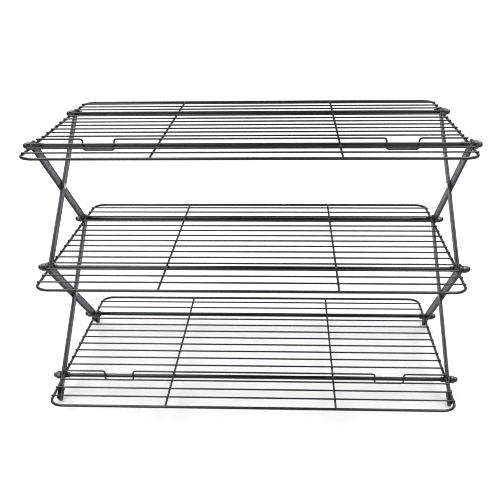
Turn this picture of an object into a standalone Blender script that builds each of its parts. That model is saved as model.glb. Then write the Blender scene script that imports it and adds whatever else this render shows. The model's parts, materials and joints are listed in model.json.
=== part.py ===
"""Three-tier folding cooling rack: wire shelves on a pair of scissor legs at each side.

Metres, +Z up, +X to the right, -Y to the front. The origin is on the floor under the middle of the shelves.
The rear rods carry the shelves. The front rods run forward under them as the legs fold flat.
"""

import math

import bmesh
import bpy
from mathutils import Matrix, Vector

GAP = 0.0003

# Shelf wires. Heights in a shelf are measured from the axis of its grid wires.
SHELF_WIDTH = 0.406
SHELF_DEPTH = 0.254
CORNER_RADIUS = 0.013
FRAME_RADIUS = 0.0013
FRAME_DROP = 0.0016
GRID_RADIUS = 0.0007
GRID_COUNT = 15
GRID_OVERHANG = 0.0020
CROSS_RADIUS = 0.0010
CROSS_DROP = 0.0016
CROSS_X = 0.085
GRID_PITCH = SHELF_DEPTH / (GRID_COUNT + 1)

# Catch wire: the twelfth wire of the top and bottom shelves, bent down in front of the front rod.
CATCH_INDEX = 12
CATCH_RADIUS = 0.0008
CATCH_RISE = 0.0008
CATCH_Y = SHELF_DEPTH / 2 - CATCH_INDEX * GRID_PITCH
DIP_X = 0.1447
DIP_WIDTH = 0.0305
DIP_DEPTH = 0.0108
DIP_BEND = 0.0028

# Rods and the linkage that they form.
ROD_RADIUS = 0.0020
ROD_DROP = 0.0064
REAR_ROD_Y = 0.0885
FRONT_ROD_Y = CATCH_Y + CATCH_RADIUS + ROD_RADIUS + GAP
TIER_SPACING = 0.1275
ROD_DISTANCE = REAR_ROD_Y - FRONT_ROD_Y
LEG_ANGLE = math.atan2(TIER_SPACING, ROD_DISTANCE)
LEG_LENGTH = math.hypot(TIER_SPACING, ROD_DISTANCE)

# Flat leg bars: the inner pair lean back, the outer pair lean forward.
BAR_WIDTH = 0.0105
BAR_THICKNESS = 0.0020
HOLE_RADIUS = ROD_RADIUS + GAP
INNER_BAR_X = 0.2058
OUTER_BAR_X = INNER_BAR_X + BAR_THICKNESS + GAP

# Foot caps on the lower ends of the lower bars.
CAP_LENGTH = 0.0145
CAP_WALL = 0.0009
CAP_WIDTH = BAR_WIDTH + 2 * (GAP + 0.0010)
CAP_THICKNESS = BAR_THICKNESS + 2 * (GAP + CAP_WALL)
CAP_END_WALL = 0.0015
CAP_EDGE = 0.0004
FOOT_REACH = 0.028
FOOT_FLAT_DEPTH = 0.0020
BOTTOM_ROD_Z = (
    FOOT_REACH * math.sin(LEG_ANGLE) + CAP_WIDTH / 2 * math.cos(LEG_ANGLE) - FOOT_FLAT_DEPTH
)

# Small turned and pressed pieces.
COLLAR_RADIUS = 0.0028
COLLAR_START_X = 0.1996
WASHER_RADIUS = 0.0040
WASHER_THICKNESS = 0.0008
NUT_FLATS = 0.0070
NUT_HEX_LENGTH = 0.0042
NUT_LENGTH = 0.0080
NUT_DOME_RADIUS = 0.0029
NUT_BORE_DEPTH = 0.0060
ROD_IN_NUT = 0.0055
BARREL_RADIUS = 0.0032
RIVET_RADIUS = 0.0020
RIVET_HEAD_RADIUS = 0.0034
RIVET_INNER_HEAD = 0.0008
RIVET_OUTER_HEAD = 0.0014

RING_STEPS = 12
NUT_STEPS = 18
ARC_STEPS = 6

TIERS = ("bottom", "middle", "top")
SIDES = {"left": -1, "right": 1}

# Which leg bars sit on each rod: the outer bar, the inner bar or both.
ROD_BARS = {
    ("bottom", "rear"): "outer",
    ("bottom", "front"): "inner",
    ("middle", "rear"): "both",
    ("middle", "front"): "both",
    ("top", "rear"): "inner",
    ("top", "front"): "outer",
}


def clear_scene():
    for item in list(bpy.data.objects):
        bpy.data.objects.remove(item, do_unlink=True)


def new_collection(name, helper=False):
    collection = bpy.data.collections.new(name)
    bpy.context.scene.collection.children.link(collection)
    collection.hide_render = helper
    return collection


def make_material(name, color, metallic, roughness):
    material = bpy.data.materials.new(name)
    material.use_nodes = True
    shader = material.node_tree.nodes["Principled BSDF"]
    shader.inputs["Base Color"].default_value = (*color, 1.0)
    shader.inputs["Metallic"].default_value = metallic
    shader.inputs["Roughness"].default_value = roughness
    return material


def rod_z(tier):
    return BOTTOM_ROD_Z + TIERS.index(tier) * TIER_SPACING


def rod_y(end):
    return REAR_ROD_Y if end == "rear" else FRONT_ROD_Y


def grid_z(tier):
    return rod_z(tier) + ROD_DROP


def add_object(name, data, material, collection):
    item = bpy.data.objects.new(name, data)
    if not item.data.materials:
        item.data.materials.append(material)
    collection.objects.link(item)
    return item


def add_helper(name, data):
    item = bpy.data.objects.new(name, data)
    item.display_type = "WIRE"
    item.hide_render = True
    HELPERS.objects.link(item)
    return item


def arc_points(centre, radius, start, end, steps):
    """Points on an arc in a plane, from one angle to another in degrees, both ends included."""
    angles = [math.radians(start + (end - start) * i / steps) for i in range(steps + 1)]
    return [(centre[0] + radius * math.cos(a), centre[1] + radius * math.sin(a)) for a in angles]


def wire_mesh(name, points, radius, closed=False, detail=2):
    """A closed mesh of a round wire along the points."""
    curve = bpy.data.curves.new(name, "CURVE")
    curve.dimensions = "3D"
    curve.bevel_depth = radius
    curve.bevel_resolution = detail
    curve.use_fill_caps = True
    spline = curve.splines.new("POLY")
    spline.points.add(len(points) - 1)
    for point, place in zip(spline.points, points):
        point.co = (*place, 1.0)
    spline.use_cyclic_u = closed
    source = bpy.data.objects.new(name, curve)
    HELPERS.objects.link(source)
    graph = bpy.context.evaluated_depsgraph_get()
    mesh = bpy.data.meshes.new_from_object(source.evaluated_get(graph))
    bpy.data.objects.remove(source)
    weld(mesh)
    return mesh


def weld(mesh):
    work = bmesh.new()
    work.from_mesh(mesh)
    bmesh.ops.remove_doubles(work, verts=work.verts, dist=0.00001)
    bmesh.ops.recalc_face_normals(work, faces=work.faces)
    work.to_mesh(mesh)
    work.free()
    mesh.shade_smooth()


def frame_points():
    """The rounded rectangle of a shelf's frame wire."""
    x = SHELF_WIDTH / 2 - CORNER_RADIUS
    y = SHELF_DEPTH / 2 - CORNER_RADIUS
    corners = ((x, y, 0), (-x, y, 90), (-x, -y, 180), (x, -y, 270))
    points = []
    for cx, cy, start in corners:
        points += arc_points((cx, cy), CORNER_RADIUS, start, start + 90, ARC_STEPS)
    return [(px, py, -FRAME_DROP) for px, py in points]


def shelf_mesh(name, skip_catch):
    """Frame wire, cross wires and grid wires, welded into one solid."""
    welded = bpy.data.collections.new(name + "_wires")
    HELPERS.children.link(welded)
    half = SHELF_WIDTH / 2 + GRID_OVERHANG
    for index in range(1, GRID_COUNT + 1):
        if skip_catch and index == CATCH_INDEX:
            continue
        y = SHELF_DEPTH / 2 - index * GRID_PITCH
        mesh = wire_mesh("grid_wire", [(-half, y, 0), (half, y, 0)], GRID_RADIUS, detail=1)
        welded.objects.link(bpy.data.objects.new("grid_wire", mesh))
    for side in SIDES.values():
        reach = SHELF_DEPTH / 2
        line = [(side * CROSS_X, y, -CROSS_DROP) for y in (-reach, reach)]
        mesh = wire_mesh("cross_wire", line, CROSS_RADIUS)
        welded.objects.link(bpy.data.objects.new("cross_wire", mesh))
    for wire in welded.objects:
        wire.hide_render = True
        wire.display_type = "WIRE"
    base = add_helper(name + "_frame", wire_mesh("frame", frame_points(), FRAME_RADIUS, closed=True))
    union = base.modifiers.new("weld", "BOOLEAN")
    union.operation = "UNION"
    union.operand_type = "COLLECTION"
    union.collection = welded
    graph = bpy.context.evaluated_depsgraph_get()
    mesh = bpy.data.meshes.new_from_object(base.evaluated_get(graph))
    mesh.name = name
    return mesh


def catch_points():
    """The catch wire in the plane y = 0: level, with a squared dip towards each side."""
    half = SHELF_WIDTH / 2 + GRID_OVERHANG
    points = [(-half, 0)]
    for centre in (-DIP_X, DIP_X):
        left = centre - DIP_WIDTH / 2
        right = centre + DIP_WIDTH / 2
        low = -DIP_DEPTH
        r = DIP_BEND
        points += arc_points((left - r, -r), r, 90, 0, 4)
        points += arc_points((left + r, low + r), r, 180, 270, 4)
        points += arc_points((right - r, low + r), r, 270, 360, 4)
        points += arc_points((right + r, -r), r, 180, 90, 4)
    points.append((half, 0))
    return [(x, 0, z) for x, z in points]


def turned(name, profile, steps, material, collection):
    """A ring or a plug turned about its own Z axis, from a profile that runs down its outer side."""
    mesh = bpy.data.meshes.new(name)
    work = bmesh.new()
    verts = [work.verts.new((r, 0, z)) for r, z in profile]
    pairs = zip(verts, verts[1:] + verts[:1]) if profile[0][0] > 0 else zip(verts, verts[1:])
    for a, b in pairs:
        work.edges.new((a, b))
    work.to_mesh(mesh)
    work.free()
    item = add_object(name, mesh, material, collection)
    screw = item.modifiers.new("turn", "SCREW")
    screw.steps = steps
    screw.render_steps = steps
    screw.use_merge_vertices = True
    screw.merge_threshold = 0.00001
    return item


def baked_mesh(item):
    """The object's evaluated mesh; the object itself is removed."""
    graph = bpy.context.evaluated_depsgraph_get()
    mesh = bpy.data.meshes.new_from_object(item.evaluated_get(graph))
    bpy.data.objects.remove(item)
    weld(mesh)
    return mesh


def tube_mesh(name, inner, outer, length):
    """A tube along Z, from 0 to its length."""
    profile = [(outer, length), (outer, 0), (inner, 0), (inner, length)]
    return baked_mesh(turned(name, profile, RING_STEPS, STEEL, HELPERS))


def cap_nut_mesh():
    """An acorn nut along Z: the open hexagonal end at 0, the dome at its length."""
    hexagon = bpy.data.meshes.new("hexagon")
    work = bmesh.new()
    across = NUT_FLATS / math.cos(math.pi / 6)
    bmesh.ops.create_cone(
        work, cap_ends=True, segments=6, radius1=across / 2, radius2=across / 2, depth=NUT_HEX_LENGTH
    )
    bmesh.ops.translate(work, verts=work.verts, vec=(0, 0, NUT_HEX_LENGTH / 2))
    work.to_mesh(hexagon)
    work.free()
    dome = arc_points((0, NUT_LENGTH - NUT_DOME_RADIUS), NUT_DOME_RADIUS, 90, 0, 4)
    profile = [*dome, (NUT_DOME_RADIUS, NUT_HEX_LENGTH / 2), (0, NUT_HEX_LENGTH / 2)]
    profile[0] = (0, NUT_LENGTH)
    plug = add_helper("nut_dome", baked_mesh(turned("dome", profile, NUT_STEPS, STEEL, HELPERS)))
    bore = [(0, NUT_BORE_DEPTH), (HOLE_RADIUS, NUT_BORE_DEPTH), (HOLE_RADIUS, -0.001), (0, -0.001)]
    cutter = add_helper("nut_bore", baked_mesh(turned("bore", bore, RING_STEPS, STEEL, HELPERS)))
    item = add_helper("nut_body", hexagon)
    join(item, plug, "UNION")
    join(item, cutter, "DIFFERENCE")
    return baked_mesh(item)


def join(item, other, operation):
    modifier = item.modifiers.new(operation.lower(), "BOOLEAN")
    modifier.operation = operation
    modifier.solver = "EXACT"
    modifier.object = other


def rivet_mesh():
    """A rivet along Z, from its inner head at 0 outward through both bars."""
    grip = 2 * BAR_THICKNESS + 3 * GAP
    base = RIVET_INNER_HEAD
    far = base + grip
    profile = [
        (0, far + RIVET_OUTER_HEAD),
        (RIVET_HEAD_RADIUS * 0.6, far + RIVET_OUTER_HEAD * 0.85),
        (RIVET_HEAD_RADIUS, far),
        (RIVET_RADIUS, far),
        (RIVET_RADIUS, base),
        (RIVET_HEAD_RADIUS, base),
        (RIVET_HEAD_RADIUS * 0.8, 0),
        (0, 0),
    ]
    return baked_mesh(turned("rivet", profile, RING_STEPS, STEEL, HELPERS))


def add_turned(name, mesh, side, x, y, z, material):
    """Stands a turned mesh on its side, its own Z axis pointing out along +X or -X."""
    item = add_object(name, mesh.copy(), material, PARTS)
    item.data.set_sharp_from_angle(angle=math.radians(35))
    item.location = (side * x, y, z)
    item.rotation_euler = (0, side * math.pi / 2, 0)
    return item


def collar_end(bars):
    """Where a collar or a hinge barrel ends, inboard of the first bar on the rod."""
    first_bar = OUTER_BAR_X if bars == "outer" else INNER_BAR_X
    return first_bar - GAP


def add_shelves():
    plain = shelf_mesh("plain_shelf", skip_catch=False)
    gapped = shelf_mesh("catch_shelf", skip_catch=True)
    catch = wire_mesh("catch_wire", catch_points(), CATCH_RADIUS)
    for tier in TIERS:
        axis = (0, REAR_ROD_Y, rod_z(tier))
        mesh = (plain if tier == "middle" else gapped).copy()
        mesh.transform(Matrix.Translation((0, -REAR_ROD_Y, ROD_DROP)))
        mesh.shade_smooth()
        mesh.set_sharp_from_angle(angle=math.radians(60))
        shelf = add_object(tier + "_shelf_grid", mesh, COATED_WIRE, PARTS)
        shelf.location = axis
        barrel_length = collar_end(ROD_BARS[tier, "rear"]) - COLLAR_START_X
        barrel = tube_mesh("barrel", HOLE_RADIUS, BARREL_RADIUS, barrel_length)
        for side_name, side in SIDES.items():
            name = f"{tier}_hinge_barrel_{side_name}"
            add_turned(name, barrel, side, COLLAR_START_X, REAR_ROD_Y, rod_z(tier), COATED_WIRE)
        if tier != "middle":
            wire = add_object(tier + "_catch_wire", catch.copy(), COATED_WIRE, PARTS)
            wire.location = (0, CATCH_Y, grid_z(tier) + CATCH_RISE)


def stack_start(bars):
    """Where the washer starts, outboard of the last bar on the rod."""
    last_bar = INNER_BAR_X if bars == "inner" else OUTER_BAR_X
    return last_bar + BAR_THICKNESS + GAP


def rod_mesh(half_length, shoulder_x):
    """A rod along Z. A front rod has a swaged collar near each end, to stop the first bar moving in."""
    corners = [(0, half_length), (ROD_RADIUS, half_length)]
    if shoulder_x:
        corners += [
            (ROD_RADIUS, shoulder_x),
            (COLLAR_RADIUS, shoulder_x),
            (COLLAR_RADIUS, COLLAR_START_X),
            (ROD_RADIUS, COLLAR_START_X),
        ]
    mirrored = [(r, -z) for r, z in reversed(corners)]
    return baked_mesh(turned("rod", [*corners, *mirrored], RING_STEPS, STEEL, HELPERS))


def add_rods():
    washer = tube_mesh("washer", HOLE_RADIUS, WASHER_RADIUS, WASHER_THICKNESS)
    nut = cap_nut_mesh()
    for (tier, end), bars in ROD_BARS.items():
        place = (rod_y(end), rod_z(tier))
        washer_x = stack_start(bars)
        nut_x = washer_x + WASHER_THICKNESS + GAP
        shoulder_x = collar_end(bars) if end == "front" else None
        shaft = rod_mesh(nut_x + ROD_IN_NUT, shoulder_x)
        add_turned(f"{tier}_{end}_rod", shaft, 1, 0, *place, STEEL)
        for side_name, side in SIDES.items():
            name = f"{tier}_{end}_washer_{side_name}"
            add_turned(name, washer, side, washer_x, *place, ZINC)
            name = f"{tier}_{end}_cap_nut_{side_name}"
            add_turned(name, nut, side, nut_x, *place, ZINC)


def bar_curve(name, start, end, holes):
    """A flat bar with round ends along local X, with a hole at each place given."""
    curve = bpy.data.curves.new(name, "CURVE")
    curve.dimensions = "2D"
    curve.fill_mode = "BOTH"
    curve.extrude = BAR_THICKNESS / 2
    radius = BAR_WIDTH / 2
    outline = arc_points((end, 0), radius, -90, 90, 2 * ARC_STEPS)
    outline += arc_points((start, 0), radius, 90, 270, 2 * ARC_STEPS)
    rings = [outline]
    for place in holes:
        rings.append(arc_points((place, 0), HOLE_RADIUS, 0, 360, RING_STEPS)[:-1])
    for ring in rings:
        spline = curve.splines.new("POLY")
        spline.points.add(len(ring) - 1)
        for point, (x, y) in zip(spline.points, ring):
            point.co = (x, y, 0, 1)
        spline.use_cyclic_u = True
    return curve


def leg_turn(slope):
    """Turns local X up along a leg, and local Z to +X. Slope is +1 where the leg rises to the rear."""
    along = Vector((0, slope * math.cos(LEG_ANGLE), math.sin(LEG_ANGLE)))
    sideways = Vector((1, 0, 0))
    across = sideways.cross(along)
    return Matrix((along, across, sideways)).transposed().to_euler()


def crossing(lower_tier):
    """Where a pair of bars cross, half way between two tiers."""
    return (REAR_ROD_Y + FRONT_ROD_Y) / 2, rod_z(lower_tier) + TIER_SPACING / 2


def add_bar(name, side, plane_x, pivot, slope, reach):
    """Reach gives the lowest point, the two rod holes and the crossing hole, measured from the pivot."""
    start, low_hole, middle_hole, high_hole = reach
    curve = bar_curve(name, start, high_hole, (low_hole, middle_hole, high_hole))
    bar = add_object(name, curve, BAR_STEEL, PARTS)
    bar.location = (side * (plane_x + BAR_THICKNESS / 2), *pivot)
    bar.rotation_euler = leg_turn(slope)
    return bar


def add_legs():
    """Outer bars turn about the rear rod below them, and inner bars about the rivet at the crossing."""
    half = LEG_LENGTH / 2
    foot = FOOT_REACH - CAP_END_WALL - GAP - BAR_WIDTH / 2
    rivet = rivet_mesh()
    for label, lower_tier in (("lower", "bottom"), ("upper", "middle")):
        extra = foot if label == "lower" else 0
        middle = crossing(lower_tier)
        rear = (REAR_ROD_Y, rod_z(lower_tier))
        outer_reach = (-extra, 0, half, LEG_LENGTH)
        inner_reach = (-half - extra, -half, 0, half)
        for side_name, side in SIDES.items():
            add_bar(f"{label}_outer_leg_{side_name}", side, OUTER_BAR_X, rear, -1, outer_reach)
            add_bar(f"{label}_inner_leg_{side_name}", side, INNER_BAR_X, middle, 1, inner_reach)
            name = f"{label}_rivet_{side_name}"
            head_x = INNER_BAR_X - GAP - RIVET_INNER_HEAD
            add_turned(name, rivet, side, head_x, *middle, ZINC)


def foot_cap_mesh(pivot_y, slope):
    """A cap closed at its lower end, in world space, cut level where it stands on the floor."""
    box = box_mesh((CAP_LENGTH, CAP_WIDTH, CAP_THICKNESS), CAP_LENGTH / 2 - FOOT_REACH)
    cavity_length = CAP_LENGTH - CAP_END_WALL
    width = BAR_WIDTH + 2 * GAP
    depth = BAR_THICKNESS + 2 * GAP
    over = 0.001
    offset = CAP_END_WALL - FOOT_REACH + (cavity_length + over) / 2
    cavity = add_helper("cap_cavity", box_mesh((cavity_length + over, width, depth), offset))
    cap = add_helper("cap_body", box)
    bevel = cap.modifiers.new("edges", "BEVEL")
    bevel.width = CAP_EDGE
    bevel.segments = 1
    floor = add_helper("floor_cut", box_mesh((0.1, 0.1, 0.1), 0))
    floor.location = (0, pivot_y, -0.05)
    for item in (cap, cavity):
        item.location = (0, pivot_y, BOTTOM_ROD_Z)
        item.rotation_euler = leg_turn(slope)
    join(cap, cavity, "DIFFERENCE")
    join(cap, floor, "DIFFERENCE")
    bpy.context.view_layer.update()
    place = cap.matrix_world.copy()
    mesh = baked_mesh(cap)
    mesh.transform(place)
    mesh.transform(Matrix.Translation((0, -pivot_y, -BOTTOM_ROD_Z)))
    return mesh


def box_mesh(size, along):
    mesh = bpy.data.meshes.new("box")
    work = bmesh.new()
    bmesh.ops.create_cube(work, size=1.0)
    bmesh.ops.scale(work, verts=work.verts, vec=size)
    bmesh.ops.translate(work, verts=work.verts, vec=(along, 0, 0))
    work.to_mesh(mesh)
    work.free()
    return mesh


def add_feet():
    feet = (("rear", -1, OUTER_BAR_X), ("front", 1, INNER_BAR_X))
    for end, slope, plane_x in feet:
        source = foot_cap_mesh(rod_y(end), slope)
        for side_name, side in SIDES.items():
            mesh = source.copy()
            mesh.shade_smooth()
            mesh.set_sharp_from_angle(angle=math.radians(25))
            cap = add_object(f"{end}_foot_cap_{side_name}", mesh, RUBBER, PARTS)
            cap.location = (side * (plane_x + BAR_THICKNESS / 2), rod_y(end), BOTTOM_ROD_Z)


clear_scene()
PARTS = new_collection("cooling_rack")
HELPERS = new_collection("cutters", helper=True)
COATED_WIRE = make_material("coated_wire", (0.035, 0.035, 0.038), 0.6, 0.35)
STEEL = make_material("rod_steel", (0.045, 0.045, 0.05), 0.6, 0.35)
BAR_STEEL = make_material("bar_steel", (0.16, 0.16, 0.18), 0.5, 0.42)
ZINC = make_material("dark_zinc", (0.12, 0.12, 0.125), 0.8, 0.35)
RUBBER = make_material("rubber", (0.02, 0.02, 0.022), 0.0, 0.7)
add_shelves()
add_rods()
add_legs()
add_feet()
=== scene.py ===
"""Looks of the three-tier folding cooling rack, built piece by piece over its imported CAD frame.

Metres, +Z up, +X to the right, -Y to the front. Each piece stands in for one CAD node and rides that node's
body. A mesh is made in place, and keeps its own unturned coordinates in the attribute "grain", which the
materials read, so that streaks run along a bar or round a rod wherever it points.
"""

import json
import math
import random

import bmesh
import bpy
from mathutils import Euler, Matrix, Vector, noise

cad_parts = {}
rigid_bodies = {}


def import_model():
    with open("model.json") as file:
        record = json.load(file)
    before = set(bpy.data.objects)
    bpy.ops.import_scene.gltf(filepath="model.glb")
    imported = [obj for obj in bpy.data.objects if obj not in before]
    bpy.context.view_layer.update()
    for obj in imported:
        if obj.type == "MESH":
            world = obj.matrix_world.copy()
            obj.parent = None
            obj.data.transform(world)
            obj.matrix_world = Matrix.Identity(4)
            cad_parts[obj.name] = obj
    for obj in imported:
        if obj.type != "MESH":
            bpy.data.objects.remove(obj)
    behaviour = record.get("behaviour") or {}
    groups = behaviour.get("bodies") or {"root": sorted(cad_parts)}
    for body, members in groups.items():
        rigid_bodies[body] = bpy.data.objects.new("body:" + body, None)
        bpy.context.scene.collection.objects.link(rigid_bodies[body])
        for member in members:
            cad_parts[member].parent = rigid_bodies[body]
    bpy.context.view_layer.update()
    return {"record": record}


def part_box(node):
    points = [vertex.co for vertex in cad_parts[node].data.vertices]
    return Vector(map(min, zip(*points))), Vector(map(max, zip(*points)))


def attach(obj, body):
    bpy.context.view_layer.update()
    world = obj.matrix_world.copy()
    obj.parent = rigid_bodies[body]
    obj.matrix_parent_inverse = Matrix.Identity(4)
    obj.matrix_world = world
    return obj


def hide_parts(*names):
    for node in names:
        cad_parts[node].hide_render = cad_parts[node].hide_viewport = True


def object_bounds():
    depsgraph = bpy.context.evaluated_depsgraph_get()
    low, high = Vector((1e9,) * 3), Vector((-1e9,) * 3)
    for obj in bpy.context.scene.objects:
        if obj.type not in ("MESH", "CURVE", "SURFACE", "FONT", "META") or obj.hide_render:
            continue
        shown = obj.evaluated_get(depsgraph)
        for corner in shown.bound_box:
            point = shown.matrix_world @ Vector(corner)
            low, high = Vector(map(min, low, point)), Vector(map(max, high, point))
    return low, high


# Shelf wires. Heights are measured from the axis of the grid wires.
GRID_RADIUS = 0.00076
FRAME_RADIUS = 0.0013
FRAME_DROP = 0.00154
CORNER_RADIUS = 0.013
CROSS_RADIUS = 0.0010
CROSS_DROP = 0.00154
CROSS_X = 0.085
GRID_COUNT = 15
GRID_REACH = 0.0020
OVERHANG = (0.0009, 0.0016)
WAVER = 0.00022
WIRE_SIDES = 14

# Welds. The frame wire's own butt weld is a seam: a swelling that spreads over a few short steps.
SEAM_X = 0.031
SEAM_SWELL = 0.14
SEAM_STEP = 0.0004
SEAM_SPREAD = 2.2
SIDE_WELD = 0.00150
CROSS_WELD = 0.00095
WELD_DROP = 0.00062
WELD_DEPTH = 0.00098
WELD_HEIGHT = 0.00070
TIE_INSET = 0.0012
TIE_BEAD = (0.0013, 0.0010, 0.00115)

# Catch wire, the twelfth wire of the top and bottom shelves.
CATCH_INDEX = 12
CATCH_RADIUS = 0.0008
DIP_X = 0.1447
DIP_WIDTH = 0.0305
DIP_BEND = 0.0028
CATCH_BEAD = (0.00105, 0.00100, 0.00060)
CATCH_BEAD_DROP = 0.00095

# Hinge barrels.
BARREL_EDGE = 0.0003
BORE_EDGE = 0.0001
BARREL_SEAM_ANGLE = 292.5
BARREL_SEAM_SPREAD = 8
BARREL_SEAM_DEPTH = 0.00035
BARREL_BEAD = (0.0013, 0.0020, 0.00055)
BARREL_BEAD_DROP = 0.0001

# Rods. A front one has a swaged collar near each end.
ROD_RADIUS = 0.0020
COLLAR_RADIUS = 0.0028
COLLAR_START_X = 0.1996
COLLAR_EDGE = 0.0004
COLLAR_GAP = 0.0003
ROD_CHAMFER = 0.0004
THREAD_INSET = 0.0006
THREAD_LENGTH = 0.0050
THREAD_PITCH = 0.0007

# Fastenings.
NUT_FLATS = 0.0070
NUT_HEX_SHARE = 0.525
NUT_DOME_RADIUS = 0.00282
HOLE_RADIUS = 0.0023
WASHER_EDGE = 0.0002
RIVET_RADIUS = 0.0020
RIVET_INNER_HEAD = 0.0008
RIVET_OUTER_HEAD = 0.0014
TURN_STEPS = 48

# Leg bars and foot caps.
BAR_WIDTH = 0.0105
BAR_EDGE = 0.00028
CAP_LENGTH = 0.0145
CAP_WIDTH = 0.0131
CAP_REACH = 0.028
CAP_CORNER = 0.0013
CAP_RIM = 0.0003

TIERS = ("bottom", "middle", "top")
ENDS = ("rear", "front")
SIDES = ("left", "right")

# The bar that each collared rod meets first, and the lower and upper rod of each kind of leg.
FIRST_BAR = {
    ("bottom", "front"): "lower_inner_leg",
    ("middle", "front"): "upper_inner_leg",
    ("top", "front"): "upper_outer_leg",
}
LEG_RODS = {
    ("lower", "outer"): ("bottom_rear_rod", "middle_front_rod"),
    ("lower", "inner"): ("bottom_front_rod", "middle_rear_rod"),
    ("upper", "outer"): ("middle_rear_rod", "top_front_rod"),
    ("upper", "inner"): ("middle_front_rod", "top_rear_rod"),
}

# Camera, floor and light.
CAMERA_PLACE = (0.0387, -0.7843, 0.4588)
CAMERA_TURN = (68.172, 0.880, 2.792)
CAMERA_LENS = 55.93

FLOOR_FLAT = 7.0
FLOOR_SWEEP = 3.0
FLOOR_RISE = 3.6
FLOOR_SIDES = 96
FLOOR_GLOW = 0.45
FLOOR_SHADES = ((0.0, 0.33), (1.0, 0.35))
STUDIO_LIGHT = 4.3
STUDIO_BANDS = ((0.0, 0.005), (0.07, 0.012), (0.19, 1.0), (0.38, 1.0), (0.62, 0.12))
STUDIO_RISE = ((0.0, 0.05), (0.32, 0.08), (0.56, 1.0))
SOFTBOX_PLACE = (0.55, -0.15, 1.30)
SOFTBOX_SIZE = (0.40, 0.9)
SOFTBOX_POWER = 2.0
VIEW_GAMMA = 0.62
FILTER_WIDTH = 1.10


def clear_scene():
    for item in list(bpy.data.objects):
        bpy.data.objects.remove(item, do_unlink=True)


# Places, from the frame.


def middle_of(node):
    low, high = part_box(node)
    return (low + high) / 2


def outward(node):
    """+1 for a piece on the right of the rack and -1 for one on the left."""
    return 1 if middle_of(node).x > 0 else -1


def span_outward(node):
    """The X where a piece at one side starts and ends, counted outward."""
    low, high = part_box(node)
    return (low.x, high.x) if outward(node) > 0 else (high.x, low.x)


def seeded(name):
    return random.Random("cooling rack " + name)


def grain_shift(name):
    """Each piece's own place in the noise. The middle component stays 0: it is the distance across."""
    draw = seeded(name)
    return Vector((draw.uniform(-5, 5), 0, draw.uniform(-5, 5)))


# Mesh building.


def new_work():
    work = bmesh.new()
    work.verts.layers.float_vector.new("grain")
    return work


def add_vert(work, place, grain):
    vert = work.verts.new(place)
    vert[work.verts.layers.float_vector["grain"]] = grain
    return vert


def skin(work, rings, closed=False):
    """Joins rings of points into a surface. An open run is closed by a face at each end."""
    pairs = list(zip(rings, rings[1:]))
    if closed:
        pairs.append((rings[-1], rings[0]))
    for near, far in pairs:
        for k in range(len(near)):
            work.faces.new((near[k - 1], near[k], far[k], far[k - 1]))
    if not closed:
        work.faces.new(list(reversed(rings[0])))
        work.faces.new(rings[-1])


def add_wire(work, path, side, radii, shift, closed=False):
    """A round wire along a flat path. Side points square to the plane that the path lies in."""
    rings = []
    run = 0.0
    for i, point in enumerate(path):
        before = path[i - 1] if i or closed else point
        after = path[(i + 1) % len(path)] if closed or i + 1 < len(path) else point
        along = (after - before).normalized()
        across = side.cross(along)
        run += (point - path[i - 1]).length if i else 0.0
        ring = []
        for k in range(WIRE_SIDES):
            turn = 2 * math.pi * k / WIRE_SIDES
            u = radii[i] * math.cos(turn)
            v = radii[i] * math.sin(turn)
            grain = shift + Vector((run, v, u))
            ring.append(add_vert(work, point + side * u + across * v, grain))
        rings.append(ring)
    skin(work, rings, closed)


def rounded_ends(path, radius):
    """The path and its radii, with cut and slightly rounded ends where the wire swells to its radius."""
    steps = ((0.0, 0.78), (0.08, 0.92), (0.24, 0.99))
    full = 0.6
    start = path[0]
    end = path[-1]
    inward = (path[1] - start).normalized()
    backward = (path[-2] - end).normalized()
    head = [start + inward * radius * d for d, _ in steps]
    tail = [end + backward * radius * d for d, _ in reversed(steps)]
    shrink = [radius * share for _, share in steps]
    whole = [start + inward * radius * full, *path[1:-1], end + backward * radius * full]
    return [*head, *whole, *tail], [*shrink, *[radius] * len(whole), *reversed(shrink)]


def add_bead(work, centre, size, shift):
    """A weld bead: a small squashed ball of metal."""
    made = bmesh.ops.create_uvsphere(work, u_segments=10, v_segments=6, radius=1.0)
    layer = work.verts.layers.float_vector["grain"]
    for vert in made["verts"]:
        local = Vector([c * s for c, s in zip(vert.co, size)])
        vert.co = centre + local
        vert[layer] = shift + local


def add_turned(work, profile, centre, shift, closed=False, steps=TURN_STEPS, shape=None):
    """A solid turned about a line along X, from (x, radius) points. Shape may trim a radius by angle."""
    rings = []
    for x, radius in profile:
        ring = []
        for k in range(steps):
            turn = 2 * math.pi * k / steps
            r = shape(turn, radius) if shape else radius
            u = r * math.cos(turn)
            v = r * math.sin(turn)
            place = Vector((x, centre.y + u, centre.z + v))
            ring.append(add_vert(work, place, shift + Vector((x - centre.x, u, v))))
        rings.append(ring)
    skin(work, rings, closed)


def arc(centre_x, centre_r, radius, start, end, steps):
    """Profile points (x, radius) on an arc, from one angle to another in degrees."""
    points = []
    for i in range(steps + 1):
        turn = math.radians(start + (end - start) * i / steps)
        points.append((centre_x + radius * math.cos(turn), centre_r + radius * math.sin(turn)))
    return points


def rounded_rectangle(half_a, half_b, corner, steps):
    """Points (a, b) round a rectangle with round corners, each corner made in so many steps."""
    points = []
    for quarter, (a, b) in enumerate(((1, 1), (-1, 1), (-1, -1), (1, -1))):
        centre_a = a * (half_a - corner)
        centre_b = b * (half_b - corner)
        for i in range(steps + 1):
            turn = math.radians(90 * (quarter + i / steps))
            points.append((centre_a + corner * math.cos(turn), centre_b + corner * math.sin(turn)))
    return points


def finish_mesh(work, name, sharp=40):
    # The next step starts from the normals that the faces have, so these are brought up to date first.
    work.normal_update()
    bmesh.ops.recalc_face_normals(work, faces=work.faces)
    mesh = bpy.data.meshes.new(name)
    work.to_mesh(mesh)
    work.free()
    mesh.shade_smooth()
    mesh.set_sharp_from_angle(angle=math.radians(sharp))
    return mesh


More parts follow.
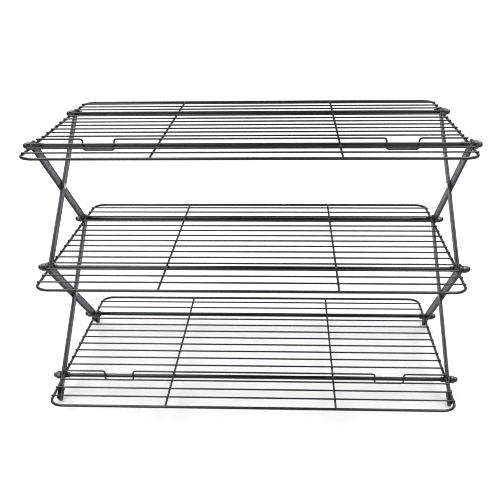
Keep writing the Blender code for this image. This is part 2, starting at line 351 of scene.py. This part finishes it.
def settle(node, mesh, material):
    """Puts a finished mesh in the scene in place of its CAD node, on that node's body."""
    piece = bpy.data.objects.new(node + "_look", mesh)
    mesh.materials.clear()
    mesh.materials.append(material)
    LOOKS.objects.link(piece)
    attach(piece, BODY_OF[node])
    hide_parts(node)


# Shelves.


def wire_waver(tier, index, x):
    """How far a grid wire strays forward or back from its line at x: it is never quite straight."""
    row = TIERS.index(tier) * 31.7 + index * 5.3
    slow = noise.noise(Vector((x * 9.0, row, 0.0)))
    quick = noise.noise(Vector((x * 34.0, row, 7.0)))
    return WAVER * (slow + 0.35 * quick)


def shelf_places(tier):
    """Half the length and depth between the frame wire's centres, and the height of the grid wires."""
    low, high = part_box(tier + "_shelf_grid")
    half_depth = high.y - FRAME_RADIUS
    half_width = high.x - GRID_REACH
    return half_width, half_depth, high.z - GRID_RADIUS


def with_seam(path, radius):
    """Adds the butt weld of the frame wire to its rear rail: a short swelling where the two ends meet."""
    z = path[0].z
    y = max(p.y for p in path)
    index = next(i for i, p in enumerate(path) if p.x < SEAM_X and p.y == y)
    bumps = [(d * SEAM_STEP, SEAM_SWELL * math.exp(-((d / SEAM_SPREAD) ** 2))) for d in range(6, -7, -1)]
    extra = [Vector((SEAM_X + d, y - radius * share, z)) for d, share in bumps]
    radii = [radius] * len(path)
    swell = [radius * (1 + share) for _, share in bumps]
    return path[:index] + extra + path[index:], radii[:index] + swell + radii[index:]


def add_frame_wire(work, half_width, half_depth, z, tier):
    corners = rounded_rectangle(half_width, half_depth, CORNER_RADIUS, 12)
    path = [Vector((x, y, z - FRAME_DROP)) for x, y in corners]
    path, radii = with_seam(path, FRAME_RADIUS)
    add_wire(work, path, Vector((0, 0, 1)), radii, grain_shift(tier + " frame"), closed=True)


def add_cross_wires(work, half_depth, z, tier):
    for side in (-1, 1):
        line = [Vector((side * CROSS_X, half_depth * t / 12, z - CROSS_DROP)) for t in range(-12, 13)]
        radii = [CROSS_RADIUS] * len(line)
        add_wire(work, line, Vector((0, 0, 1)), radii, grain_shift(f"{tier} cross {side}"))
        for end in (-1, 1):
            place = Vector((side * CROSS_X, end * (half_depth - TIE_INSET), z - CROSS_DROP))
            add_bead(work, place, TIE_BEAD, grain_shift(f"{tier} tie {side} {end}"))


def add_grid_wires(work, tier, half_width, half_depth, z):
    pitch = 2 * half_depth / (GRID_COUNT + 1)
    for index in range(1, GRID_COUNT + 1):
        if index == CATCH_INDEX and tier != "middle":
            continue
        draw = seeded(f"{tier} wire {index}")
        y = half_depth - index * pitch
        left = -half_width - draw.uniform(*OVERHANG)
        right = half_width + draw.uniform(*OVERHANG)
        xs = [left + (right - left) * t / 30 for t in range(31)]
        line = [Vector((x, y + wire_waver(tier, index, x), z)) for x in xs]
        path, radii = rounded_ends(line, GRID_RADIUS)
        add_wire(work, path, Vector((0, 0, 1)), radii, grain_shift(f"{tier} wire {index}"))
        add_wire_welds(work, tier, index, half_width, y, z)


def weld_places(half_width):
    """Where a wire across the shelf meets the side wires and the cross wires."""
    return (-half_width, -CROSS_X, CROSS_X, half_width)


def add_wire_welds(work, tier, index, half_width, y, z):
    """A bead of squeezed-out metal where a grid wire is welded to the side wires and the cross wires."""
    draw = seeded(f"{tier} welds {index}")
    for x in weld_places(half_width):
        radius = CROSS_WELD if abs(x) == CROSS_X else SIDE_WELD
        drop = WELD_DROP * draw.uniform(0.9, 1.1)
        place = Vector((x, y + wire_waver(tier, index, x), z - drop))
        spread = draw.uniform(0.92, 1.12)
        size = (radius * spread, WELD_DEPTH * spread, WELD_HEIGHT)
        add_bead(work, place, size, grain_shift(f"{tier} weld {index} {x:.2f}"))


def make_shelf(tier):
    half_width, half_depth, z = shelf_places(tier)
    work = new_work()
    add_frame_wire(work, half_width, half_depth, z, tier)
    add_cross_wires(work, half_depth, z, tier)
    add_grid_wires(work, tier, half_width, half_depth, z)
    node = tier + "_shelf_grid"
    settle(node, finish_mesh(work, node), WIRE_COAT)


def catch_line(half, level, low):
    """The catch wire in the plane y = 0: level, with a squared dip towards each side, and round bends."""
    points = [(-half, level)]
    for centre in (-DIP_X, DIP_X):
        left = centre - DIP_WIDTH / 2
        right = centre + DIP_WIDTH / 2
        r = DIP_BEND
        bends = (
            (left - r, level - r, 90, 0),
            (left + r, low + r, 180, 270),
            (right - r, low + r, 270, 360),
            (right + r, level - r, 180, 90),
        )
        for cx, cz, start, end in bends:
            for i in range(9):
                turn = math.radians(start + (end - start) * i / 8)
                points.append((cx + r * math.cos(turn), cz + r * math.sin(turn)))
    points.append((half, level))
    return points


def make_catch(tier):
    node = tier + "_catch_wire"
    low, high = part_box(node)
    y = (low.y + high.y) / 2
    level = high.z - CATCH_RADIUS
    line = catch_line(high.x, level, low.z + CATCH_RADIUS)
    path, radii = rounded_ends([Vector((x, y, z)) for x, z in line], CATCH_RADIUS)
    work = new_work()
    add_wire(work, path, Vector((0, 1, 0)), radii, grain_shift(node))
    for x in weld_places(shelf_places(tier)[0]):
        place = Vector((x, y, level - CATCH_BEAD_DROP))
        add_bead(work, place, CATCH_BEAD, grain_shift(f"{node} {x:.2f}"))
    settle(node, finish_mesh(work, node), WIRE_COAT)


def make_barrel(tier, side):
    """A rolled hinge barrel under a side wire, with the open seam of its roll and its weld."""
    node = f"{tier}_hinge_barrel_{side}"
    low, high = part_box(node)
    centre = middle_of(node)
    outer = (high.z - low.z) / 2
    edge = BARREL_EDGE
    profile = [
        *arc(low.x + edge, outer - edge, edge, 180, 90, 3),
        *arc(high.x - edge, outer - edge, edge, 90, 0, 3),
        (high.x, HOLE_RADIUS + BORE_EDGE),
        (high.x - BORE_EDGE, HOLE_RADIUS),
        (low.x + BORE_EDGE, HOLE_RADIUS),
        (low.x, HOLE_RADIUS + BORE_EDGE),
    ]

    def seam(turn, radius):
        off = abs(math.degrees(turn) - BARREL_SEAM_ANGLE)
        dent = BARREL_SEAM_DEPTH * max(0.0, 1 - off / BARREL_SEAM_SPREAD)
        return radius - dent if radius > outer * 0.9 else radius

    work = new_work()
    add_turned(work, profile, centre, grain_shift(node), closed=True, shape=seam)
    wire_x = outward(node) * shelf_places(tier)[0]
    place = Vector((wire_x, centre.y, high.z - BARREL_BEAD_DROP))
    add_bead(work, place, BARREL_BEAD, grain_shift(node + " weld"))
    settle(node, finish_mesh(work, node, sharp=50), WIRE_COAT)


# Rods and fastenings.


def make_rod(tier, end):
    """A drawn rod, threaded where it enters its nuts. A front rod has a swaged collar near each end."""
    node = f"{tier}_{end}_rod"
    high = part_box(node)[1]
    half = [
        (high.x, ROD_RADIUS * 0.80),
        (high.x - ROD_CHAMFER, ROD_RADIUS * 0.97),
        *thread_profile(high.x - THREAD_INSET),
    ]
    if end == "front":
        half += collar_profile(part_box(f"{FIRST_BAR[tier, end]}_right")[0].x - COLLAR_GAP)
    half += [(0.18, ROD_RADIUS), (0.12, ROD_RADIUS), (0.06, ROD_RADIUS)]
    profile = [(-x, r) for x, r in half] + [(0.0, ROD_RADIUS)] + list(reversed(half))
    work = new_work()
    add_turned(work, profile, middle_of(node), grain_shift(node), steps=32)
    settle(node, finish_mesh(work, node), ROD_COAT)


def collar_profile(end):
    """A collar pressed out of the rod, with rounded shoulders, listed inward from its outer end."""
    start = COLLAR_START_X
    edge = COLLAR_EDGE
    return [
        (end, ROD_RADIUS),
        *arc(end - edge, COLLAR_RADIUS - edge, edge, 0, 90, 4),
        ((start + end) / 2, COLLAR_RADIUS * 0.985),
        *arc(start + edge, COLLAR_RADIUS - edge, edge, 90, 160, 4),
        (start - 0.0003, ROD_RADIUS * 1.04),
        (start - 0.0012, ROD_RADIUS),
    ]


def thread_profile(start):
    """Crests and roots of the thread, hidden in the nut but for its first turn."""
    points = []
    for turn in range(int(THREAD_LENGTH / THREAD_PITCH)):
        x = start - turn * THREAD_PITCH
        points += [(x, ROD_RADIUS * 0.97), (x - THREAD_PITCH / 2, ROD_RADIUS * 0.86)]
    return points


def make_washer(tier, end, side):
    node = f"{tier}_{end}_washer_{side}"
    low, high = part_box(node)
    outer = (high.z - low.z) / 2
    e = WASHER_EDGE
    profile = [
        *arc(low.x + e, outer - e, e, 180, 90, 3),
        *arc(high.x - e, outer - e, e, 90, 0, 3),
        *arc(high.x - e, HOLE_RADIUS + e, e, 0, -90, 2),
        *arc(low.x + e, HOLE_RADIUS + e, e, -90, -180, 2),
    ]
    work = new_work()
    add_turned(work, profile, middle_of(node), grain_shift(node), closed=True)
    settle(node, finish_mesh(work, node, sharp=60), DARK_ZINC)


def make_nut(tier, end, side):
    """An acorn nut: chamfered hexagon, short neck and dome, standing at an angle of its own."""
    node = f"{tier}_{end}_cap_nut_{side}"
    start, tip = span_outward(node)
    sign = outward(node)
    length = abs(tip - start)
    hexagon = length * NUT_HEX_SHARE
    flat = NUT_FLATS / 2
    corner = flat / math.cos(math.pi / 6)
    lean = seeded(node).uniform(0, math.pi / 3)
    dome = NUT_DOME_RADIUS
    profile = [
        (0.0015, HOLE_RADIUS * 0.8),
        (0.0004, HOLE_RADIUS),
        (0.0, HOLE_RADIUS + 0.0003),
        (0.0, flat * 0.97),
        (0.00022, corner * 0.94),
        (0.00055, corner),
        (hexagon - 0.00050, corner),
        (hexagon - 0.00016, corner * 0.93),
        (hexagon, flat * 0.95),
        (hexagon + 0.00004, dome * 0.97),
        (hexagon + 0.00030, dome * 0.96),
        (hexagon + 0.00055, dome),
    ]
    profile += [(length - dome + x, r) for x, r in arc(0, 0, dome, 90, 4, 10)]

    def hexed(turn, radius):
        part = (turn + lean) % (math.pi / 3) - math.pi / 6
        return min(radius, flat / math.cos(part))

    placed = [(start + sign * x, r) for x, r in profile]
    work = new_work()
    add_turned(work, placed, middle_of(node), grain_shift(node), shape=hexed)
    settle(node, finish_mesh(work, node, sharp=28), DARK_ZINC)


def make_rivet(level, side):
    """A rivet: a low pan head inside, a peened dome outside."""
    node = f"{level}_rivet_{side}"
    start, tip = span_outward(node)
    sign = outward(node)
    low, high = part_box(node)
    head = (high.z - low.z) / 2
    length = abs(tip - start)
    inner = RIVET_INNER_HEAD
    outer = length - RIVET_OUTER_HEAD
    bulge = (head * head + RIVET_OUTER_HEAD**2) / (2 * RIVET_OUTER_HEAD)
    sweep = math.degrees(math.asin(head / bulge))
    profile = [
        (0.0, 0.0006),
        (0.00002, head * 0.55),
        (0.00010, head * 0.72),
        (0.00030, head * 0.90),
        (inner - 0.0001, head),
        (inner, head * 0.97),
        (inner, RIVET_RADIUS),
        (outer, RIVET_RADIUS),
        (outer, head * 0.97),
    ]
    profile += [(length - bulge + x, r) for x, r in arc(0, 0, bulge, sweep, 6, 8)]
    placed = [(start + sign * x, r) for x, r in profile]
    work = new_work()
    add_turned(work, placed, middle_of(node), grain_shift(node))
    settle(node, finish_mesh(work, node, sharp=50), RIVET_STEEL)


# Leg bars and foot caps.


def leg_frame(low_rod, high_rod):
    """A matrix that stands local X up a leg from its lower rod to its upper one, and local Z to +X."""
    low = middle_of(low_rod)
    high = middle_of(high_rod)
    along = Vector((0, high.y - low.y, high.z - low.z))
    up = along.normalized()
    side = Vector((1, 0, 0))
    turn = Matrix((up, side.cross(up), side)).transposed().to_4x4()
    return Matrix.Translation((0, low.y, low.z)) @ turn, along.length


def bar_outline(start, end, holes):
    """A 2D curve of a flat bar with round ends along local X, and its holes, all with rounded edges."""
    curve = bpy.data.curves.new("bar", "CURVE")
    curve.dimensions = "2D"
    curve.fill_mode = "BOTH"
    curve.bevel_depth = BAR_EDGE
    curve.bevel_resolution = 2
    curve.offset = -BAR_EDGE
    radius = BAR_WIDTH / 2
    outline = []
    for centre, first in ((end, -90), (start, 90)):
        for i in range(25):
            turn = math.radians(first + 7.5 * i)
            outline.append((centre + radius * math.cos(turn), radius * math.sin(turn)))
    rings = [outline]
    for place in holes:
        turns = [2 * math.pi * i / 32 for i in range(32)]
        rings.append([(place + HOLE_RADIUS * math.cos(t), HOLE_RADIUS * math.sin(t)) for t in turns])
    for ring in rings:
        spline = curve.splines.new("POLY")
        spline.points.add(len(ring) - 1)
        for point, (x, y) in zip(spline.points, ring):
            point.co = (x, y, 0, 1)
        spline.use_cyclic_u = True
    return curve


def mesh_of(curve):
    source = bpy.data.objects.new("source", curve)
    LOOKS.objects.link(source)
    graph = bpy.context.evaluated_depsgraph_get()
    mesh = bpy.data.meshes.new_from_object(source.evaluated_get(graph))
    bpy.data.objects.remove(source)
    return mesh


def make_bar(level, kind, side):
    """A flat bar. Its grain's middle component is the distance from its axis, round its ends too."""
    node = f"{level}_{kind}_leg_{side}"
    low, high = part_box(node)
    place, length = leg_frame(*LEG_RODS[level, kind])
    rise = place.to_3x3().col[0].z
    start = (low.z + BAR_WIDTH / 2 - place.translation.z) / rise
    curve = bar_outline(start, length, (0.0, length / 2, length))
    curve.extrude = (high.x - low.x) / 2 - BAR_EDGE
    work = bmesh.new()
    work.from_mesh(mesh_of(curve))
    bmesh.ops.remove_doubles(work, verts=work.verts, dist=0.000005)
    layer = work.verts.layers.float_vector.new("grain")
    shift = grain_shift(node)
    middle = Matrix.Translation(((low.x + high.x) / 2, 0, 0))
    for vert in work.verts:
        local = vert.co.copy()
        past_end = max(start - local.x, local.x - length, 0.0)
        local.y = math.copysign(math.hypot(past_end, local.y), local.y)
        vert[layer] = shift + local
        vert.co = middle @ place @ vert.co
    settle(node, finish_mesh(work, node, sharp=35), BAR_COAT)


def cap_ring(work, x, width, thickness, corner, leg_matrix, shift):
    """One ring of a foot cap: a rounded rectangle across the leg at x along it, kept above the floor."""
    ring = []
    for y, z in rounded_rectangle(width / 2, thickness / 2, corner, 5):
        local = Vector((x, y, z))
        place = leg_matrix @ local
        place.z = max(place.z, 0.0)
        ring.append(add_vert(work, place, shift + local))
    return ring


def make_cap(end, side):
    """A moulded sleeve on the lower end of a leg, with a rim at its mouth, worn flat where it stands."""
    node = f"{end}_foot_cap_{side}"
    low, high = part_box(node)
    kind = "outer" if end == "rear" else "inner"
    place, _ = leg_frame(*LEG_RODS["lower", kind])
    place = Matrix.Translation(((low.x + high.x) / 2, 0, 0)) @ place
    thickness = high.x - low.x
    tip = -CAP_REACH
    mouth = tip + CAP_LENGTH
    full = (CAP_WIDTH - 2 * CAP_RIM, thickness - 2 * CAP_RIM)
    hole = (BAR_WIDTH + 0.0005, thickness - 0.0019)
    rings = (
        (tip, full[0] - 0.0018, full[1] - 0.0018),
        (tip + 0.0002, full[0] - 0.0009, full[1] - 0.0009),
        (tip + 0.0006, full[0] - 0.0002, full[1] - 0.0002),
        (tip + 0.0011, *full),
        (tip + 0.0060, *full),
        (mouth - 0.0024, *full),
        (mouth - 0.0021, CAP_WIDTH - 0.0002, thickness - 0.0002),
        (mouth - 0.0018, CAP_WIDTH, thickness),
        (mouth - 0.0004, CAP_WIDTH, thickness),
        (mouth - 0.0001, CAP_WIDTH - 0.0003, thickness - 0.0003),
        (mouth, CAP_WIDTH - 0.0008, thickness - 0.0008),
        (mouth, *hole),
        (mouth - 0.0012, *hole),
    )
    work = new_work()
    shift = grain_shift(node)
    made = []
    for x, width, depth in rings:
        corner = min(CAP_CORNER, depth / 2 - 0.0001)
        made.append(cap_ring(work, x, width, depth, corner, place, shift))
    skin(work, made)
    settle(node, finish_mesh(work, node, sharp=50), CAP_RUBBER)


# Materials.


def colour_ramp(tree, source, stops):
    """A ramp through (position, colour) stops, read at the value of the source."""
    node = tree.nodes.new("ShaderNodeValToRGB")
    elements = node.color_ramp.elements
    while len(elements) < len(stops):
        elements.new(0.5)
    for element, (position, colour) in zip(elements, stops):
        element.position = position
        element.color = (*colour, 1.0)
    tree.links.new(source, node.inputs["Fac"])
    return node.outputs["Color"]


def shade_ramp(tree, source, stops):
    """A ramp of greys through (position, share) stops."""
    return colour_ramp(tree, source, [(position, (share, share, share)) for position, share in stops])


class Finish:
    """A Principled material whose nodes read the piece's own coordinates."""

    def __init__(self, name, **fixed):
        self.material = bpy.data.materials.new(name)
        self.material.use_nodes = True
        self.tree = self.material.node_tree
        self.shader = self.tree.nodes["Principled BSDF"]
        for socket, value in fixed.items():
            self.shader.inputs[socket.replace("_", " ")].default_value = value
        self.grain = self.add("Attribute", attribute_name="grain").outputs["Vector"]

    def add(self, kind, **settings):
        node = self.tree.nodes.new("ShaderNode" + kind)
        for key, value in settings.items():
            setattr(node, key, value)
        return node

    def link(self, source, target):
        self.tree.links.new(source, target)

    def stretched(self, scale):
        node = self.add("Mapping")
        node.inputs["Scale"].default_value = scale
        self.link(self.grain, node.inputs["Vector"])
        return node.outputs["Vector"]

    def noise(self, scale, detail=3.0, roughness=0.55, stretch=None):
        node = self.add("TexNoise")
        node.inputs["Scale"].default_value = scale
        node.inputs["Detail"].default_value = detail
        node.inputs["Roughness"].default_value = roughness
        vector = self.stretched(stretch) if stretch else self.grain
        self.link(vector, node.inputs["Vector"])
        return node.outputs["Fac"]

    def colours(self, factor, stops):
        return colour_ramp(self.tree, factor, stops)

    def ranged(self, factor, low, high, to_low, to_high):
        node = self.add("MapRange")
        values = (low, high, to_low, to_high)
        for name, value in zip(("From Min", "From Max", "To Min", "To Max"), values):
            node.inputs[name].default_value = value
        self.link(factor, node.inputs["Value"])
        return node.outputs["Result"]

    def mixed(self, factor, base, colour):
        """The base where the factor is 0 and the plain colour where it is 1."""
        node = self.add("Mix", data_type="RGBA")
        sockets = [s for s in node.inputs if s.type == "RGBA"]
        self.link(factor, node.inputs["Factor"])
        self.link(base, sockets[0])
        sockets[1].default_value = (*colour, 1.0)
        return next(s for s in node.outputs if s.type == "RGBA")

    def across(self):
        """The distance from the piece's middle line, to either side."""
        split = self.add("SeparateXYZ")
        self.link(self.grain, split.inputs["Vector"])
        size = self.add("Math", operation="ABSOLUTE")
        self.link(split.outputs["Y"], size.inputs[0])
        return size.outputs["Value"]

    def colour(self, socket):
        self.link(socket, self.shader.inputs["Base Color"])

    def roughness(self, socket):
        self.link(socket, self.shader.inputs["Roughness"])

    def bump(self, height, strength, distance):
        node = self.add("Bump")
        node.inputs["Strength"].default_value = strength
        node.inputs["Distance"].default_value = distance
        self.link(height, node.inputs["Height"])
        self.link(node.outputs["Normal"], self.shader.inputs["Normal"])


def wire_coat():
    """Dark non-stick coating on wire: satin, a little cloudy, with fine orange peel and paler flecks."""
    finish = Finish("wire_coat", Metallic=0.0, Specular_IOR_Level=1.0)
    cloud = finish.noise(55.0, 3.0, 0.6, (1.0, 0.3, 0.3))
    base = finish.colours(cloud, ((0.30, (0.010, 0.010, 0.011)), (0.72, (0.026, 0.026, 0.028))))
    fleck = finish.ranged(finish.noise(900.0, 2.0), 0.66, 0.78, 0.0, 0.5)
    finish.colour(finish.mixed(fleck, base, (0.075, 0.075, 0.080)))
    finish.roughness(finish.ranged(finish.noise(260.0), 0.3, 0.7, 0.17, 0.30))
    finish.bump(finish.noise(3200.0, 2.0), 0.25, 0.00006)
    return finish.material


def rod_coat():
    """The same coating on the drawn rods: smoother, with faint rings and long cloudy patches."""
    finish = Finish("rod_coat", Metallic=0.0, Specular_IOR_Level=1.0)
    cloud = finish.noise(40.0, 3.0, 0.6, (1.0, 0.2, 0.2))
    base = finish.colours(cloud, ((0.32, (0.012, 0.012, 0.013)), (0.70, (0.030, 0.030, 0.033))))
    rings = finish.ranged(finish.noise(420.0, 2.0, 0.5, (1.0, 0.02, 0.02)), 0.60, 0.80, 0.0, 0.25)
    finish.colour(finish.mixed(rings, base, (0.050, 0.050, 0.055)))
    finish.roughness(finish.ranged(finish.noise(120.0), 0.3, 0.7, 0.10, 0.19))
    finish.bump(finish.noise(900.0, 2.0), 0.08, 0.00006)
    return finish.material


def bar_coat():
    """Grey satin coating on the flat bars: mottled, rubbed pale in streaks, with painted shade darkening
    the edges.
    """
    finish = Finish("bar_coat", Metallic=0.35, Specular_IOR_Level=0.5)
    mottle = finish.noise(330.0, 4.0, 0.65, (1.0, 0.8, 0.8))
    base = finish.colours(
        mottle,
        ((0.30, (0.115, 0.115, 0.125)), (0.52, (0.225, 0.225, 0.244)), (0.74, (0.390, 0.390, 0.421))),
    )
    streak = finish.ranged(finish.noise(160.0, 3.0, 0.6, (0.12, 1.6, 1.0)), 0.50, 0.75, 0.0, 0.45)
    worn = finish.mixed(streak, base, (0.430, 0.430, 0.464))
    # Painted shade: towards the rolled edges the grey fades to near black, standing in for the shade those
    # edges fall into.
    edge = finish.ranged(finish.across(), BAR_WIDTH * 0.36, BAR_WIDTH * 0.5, 0.0, 0.75)
    finish.colour(finish.mixed(edge, worn, (0.030, 0.030, 0.034)))
    finish.roughness(finish.ranged(finish.noise(500.0), 0.3, 0.7, 0.36, 0.54))
    finish.bump(finish.noise(1500.0, 3.0), 0.25, 0.00008)
    return finish.material


def dark_zinc():
    """Dark zinc plating on nuts and washers: metallic, blotchy, with scuffs."""
    finish = Finish("dark_zinc", Metallic=0.85, Specular_IOR_Level=0.5)
    blotch = finish.noise(480.0, 4.0, 0.6)
    base = finish.colours(
        blotch,
        ((0.28, (0.058, 0.057, 0.057)), (0.55, (0.135, 0.132, 0.132)), (0.78, (0.270, 0.264, 0.264))),
    )
    scuff = finish.ranged(finish.noise(1500.0, 2.0, 0.5, (0.4, 1.0, 1.0)), 0.62, 0.78, 0.0, 0.5)
    finish.colour(finish.mixed(scuff, base, (0.370, 0.363, 0.363)))
    finish.roughness(finish.ranged(finish.noise(650.0), 0.3, 0.7, 0.20, 0.36))
    finish.bump(finish.noise(1800.0, 2.0), 0.2, 0.00008)
    return finish.material


def rivet_steel():
    """Bright plated steel of the rivets, with the ring marks of the setting tool."""
    finish = Finish("rivet_steel", Metallic=0.9, Specular_IOR_Level=0.5)
    patch = finish.noise(600.0, 3.0, 0.6)
    finish.colour(finish.colours(patch, ((0.30, (0.480, 0.480, 0.490)), (0.70, (0.760, 0.760, 0.770)))))
    finish.roughness(finish.ranged(finish.noise(900.0), 0.3, 0.7, 0.26, 0.44))
    finish.bump(finish.noise(1400.0, 2.0, 0.5, (3.0, 1.0, 1.0)), 0.25, 0.00008)
    return finish.material


def cap_rubber():
    """Matt black moulded rubber: dusty and rubbed grey on its broad faces, with painted shade making its
    narrow faces near black.
    """
    finish = Finish("cap_rubber", Metallic=0.0, Specular_IOR_Level=0.35)
    dust = finish.noise(420.0, 4.0, 0.65)
    rubbed = finish.colours(dust, ((0.35, (0.080, 0.080, 0.084)), (0.75, (0.240, 0.240, 0.252))))
    # Painted shade: the narrow faces of the cap are darkened to near black, standing in for the shade that
    # falls on them.
    edge = finish.ranged(finish.across(), CAP_WIDTH * 0.38, CAP_WIDTH * 0.45, 0.0, 1.0)
    finish.colour(finish.mixed(edge, rubbed, (0.012, 0.012, 0.012)))
    finish.roughness(finish.ranged(finish.noise(700.0), 0.3, 0.7, 0.55, 0.75))
    finish.bump(finish.noise(2400.0, 3.0), 0.35, 0.00010)
    return finish.material


def floor_paint():
    """A pale studio floor, lit from within like a light table, with the faintest unevenness."""
    material = bpy.data.materials.new("studio_floor")
    material.use_nodes = True
    tree = material.node_tree
    shader = tree.nodes["Principled BSDF"]
    shader.inputs["Roughness"].default_value = 0.9
    shader.inputs["Specular IOR Level"].default_value = 0.1
    shader.inputs["Emission Color"].default_value = (1.0, 1.0, 1.0, 1.0)
    shader.inputs["Emission Strength"].default_value = FLOOR_GLOW
    place = tree.nodes.new("ShaderNodeTexCoord")
    cloud = tree.nodes.new("ShaderNodeTexNoise")
    cloud.inputs["Scale"].default_value = 2.0
    tree.links.new(place.outputs["Object"], cloud.inputs["Vector"])
    shade = shade_ramp(tree, cloud.outputs["Fac"], FLOOR_SHADES)
    tree.links.new(shade, shader.inputs["Base Color"])
    return material


# Studio.


def add_camera():
    data = bpy.data.cameras.new("camera")
    data.lens = CAMERA_LENS
    data.sensor_width = 36.0
    data.clip_start = 0.01
    data.clip_end = 100.0
    camera = bpy.data.objects.new("camera", data)
    camera.location = CAMERA_PLACE
    camera.rotation_euler = Euler([math.radians(a) for a in CAMERA_TURN], "XYZ")
    bpy.context.scene.collection.objects.link(camera)
    bpy.context.scene.camera = camera


def add_softbox(name, place, aim, size, power):
    data = bpy.data.lights.new(name, "AREA")
    data.shape = "RECTANGLE"
    data.size, data.size_y = size
    data.energy = power
    light = bpy.data.objects.new(name, data)
    light.location = place
    light.rotation_euler = (Vector(aim) - Vector(place)).to_track_quat("-Z", "Y").to_euler()
    bpy.context.scene.collection.objects.link(light)


def add_surroundings():
    """A studio with a broad pale band overhead at each side, and dark between them and round the horizon.

    A wire or rod mirrors a band near its ends, and stays dark along its middle.
    """
    world = bpy.data.worlds.new("studio")
    world.use_nodes = True
    tree = world.node_tree
    place = tree.nodes.new("ShaderNodeTexCoord")
    split = tree.nodes.new("ShaderNodeSeparateXYZ")
    tree.links.new(place.outputs["Generated"], split.inputs["Vector"])
    size = tree.nodes.new("ShaderNodeMath")
    size.operation = "ABSOLUTE"
    tree.links.new(split.outputs["X"], size.inputs[0])
    bands = shade_ramp(tree, size.outputs["Value"], STUDIO_BANDS)
    rise = shade_ramp(tree, split.outputs["Z"], STUDIO_RISE)
    product = tree.nodes.new("ShaderNodeMixRGB")
    product.blend_type = "MULTIPLY"
    product.inputs["Fac"].default_value = 1.0
    tree.links.new(bands, product.inputs["Color1"])
    tree.links.new(rise, product.inputs["Color2"])
    backdrop = tree.nodes["Background"]
    tree.links.new(product.outputs["Color"], backdrop.inputs["Color"])
    backdrop.inputs["Strength"].default_value = STUDIO_LIGHT
    bpy.context.scene.world = world


def add_studio():
    add_surroundings()
    view = bpy.context.scene.view_settings
    view.view_transform = "Standard"
    view.gamma = VIEW_GAMMA
    bpy.context.scene.cycles.filter_width = FILTER_WIDTH
    aim = (0, 0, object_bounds()[1][2] / 2)
    x, y, z = SOFTBOX_PLACE
    add_softbox("softbox_left", (-x, y, z), aim, SOFTBOX_SIZE, SOFTBOX_POWER)
    add_softbox("softbox_right", (x, y, z), aim, SOFTBOX_SIZE, SOFTBOX_POWER)


def add_floor():
    """A round floor, flat for metres and swept up at its rim, so that a low view has a pale background."""
    work = bmesh.new()
    turns = [2 * math.pi * k / FLOOR_SIDES for k in range(FLOOR_SIDES)]
    rings = []
    for step in range(13):
        share = step / 12
        radius = FLOOR_FLAT + FLOOR_SWEEP * share
        rise = FLOOR_RISE * share**2
        rings.append([work.verts.new((radius * math.cos(t), radius * math.sin(t), rise)) for t in turns])
    work.faces.new(rings[0])
    for near, far in zip(rings, rings[1:]):
        for k in range(len(near)):
            work.faces.new((near[k - 1], near[k], far[k], far[k - 1]))
    floor = bpy.data.objects.new("studio_floor", finish_mesh(work, "studio_floor"))
    floor.data.materials.append(floor_paint())
    bpy.context.scene.collection.objects.link(floor)


clear_scene()
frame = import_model()
add_camera()

record = frame["record"]
BODY_OF = {node: body for body, nodes in record["behaviour"]["bodies"].items() for node in nodes}
LOOKS = bpy.data.collections.new("cooling_rack")
bpy.context.scene.collection.children.link(LOOKS)
WIRE_COAT = wire_coat()
ROD_COAT = rod_coat()
BAR_COAT = bar_coat()
DARK_ZINC = dark_zinc()
RIVET_STEEL = rivet_steel()
CAP_RUBBER = cap_rubber()

for tier in TIERS:
    make_shelf(tier)
    if tier != "middle":
        make_catch(tier)
    for side in SIDES:
        make_barrel(tier, side)
    for end in ENDS:
        make_rod(tier, end)
        for side in SIDES:
            make_washer(tier, end, side)
            make_nut(tier, end, side)
for side in SIDES:
    for level in ("lower", "upper"):
        make_rivet(level, side)
        for kind in ("outer", "inner"):
            make_bar(level, kind, side)
    for end in ENDS:
        make_cap(end, side)

add_studio()
add_floor()
